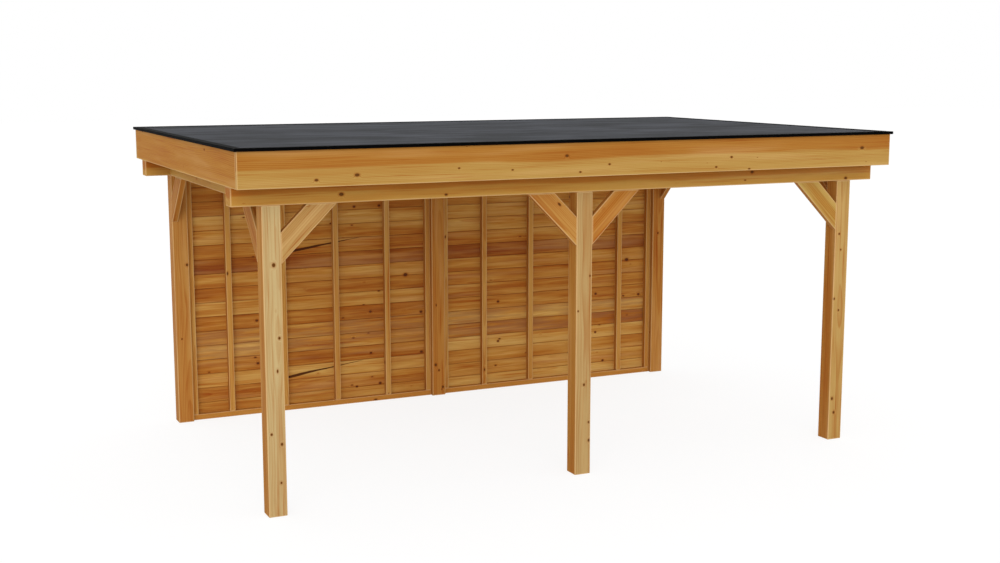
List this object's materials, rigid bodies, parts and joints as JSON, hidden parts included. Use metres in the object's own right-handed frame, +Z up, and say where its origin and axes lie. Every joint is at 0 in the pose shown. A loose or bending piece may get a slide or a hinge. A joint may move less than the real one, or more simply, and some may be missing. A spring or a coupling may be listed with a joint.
{
  "type": "freestanding veranda",
  "caption": "Freestanding timber veranda: flat roof on square posts with knee braces, open front and ends, and a boarded back wall.",
  "frame": {"origin": "on the ground, at the middle of the roof's outline", "axes": "+X along the front to the right, +Y from the open front to the back wall, +Z up"},
  "size_m": [4.91, 3.126, 2.344],
  "materials": {
    "post_timber": "planed softwood, pale honey, with fine upright grain and small knots",
    "beam_timber": "planed softwood, honey brown, grain along the beam",
    "brace_timber": "planed softwood plank, grain along the plank",
    "frame_timber": "rough-sawn softwood batten",
    "wall_boards": "rough lapped boards, straight-edged and flat on the inside, honey to red-brown",
    "roof_timber": "sawn softwood joist",
    "roof_boards": "planed tongued and grooved boards",
    "fascia_timber": "planed board, darker heartwood above and pale sapwood below",
    "roof_sheet": "matt dark grey rubber sheet with faint streaks",
    "edge_trim": "black coated aluminium, satin"
  },
  "bodies": {
    "root": {"post_front_left": "post_timber", "post_front_middle": "post_timber", "post_front_right": "post_timber", "post_back_left": "post_timber", "post_back_middle": "post_timber", "post_back_right": "post_timber", "beam_front": "beam_timber", "beam_back": "beam_timber", "beam_left": "beam_timber", "beam_right": "beam_timber", "brace_front_left": "brace_timber", "brace_front_middle_left": "brace_timber", "brace_front_middle_right": "brace_timber", "brace_front_right": "brace_timber", "brace_side_front_left": "brace_timber", "brace_side_back_left": "brace_timber", "brace_side_front_right": "brace_timber", "brace_side_back_right": "brace_timber", "wall_bottom_rail_left": "frame_timber", "wall_bottom_rail_right": "frame_timber", "wall_top_rail_left": "frame_timber", "wall_top_rail_right": "frame_timber", "wall_battens_left": "frame_timber", "wall_battens_right": "frame_timber", "wall_boards_left": "wall_boards", "wall_boards_right": "wall_boards", "roof_joists": "roof_timber", "roof_deck": "roof_boards", "roof_sheet": "roof_sheet", "fascia_front": "fascia_timber", "fascia_back": "fascia_timber", "fascia_left": "fascia_timber", "fascia_right": "fascia_timber", "trim_front": "edge_trim", "trim_back": "edge_trim", "trim_left": "edge_trim", "trim_right": "edge_trim"}
  },
  "joints": []
}
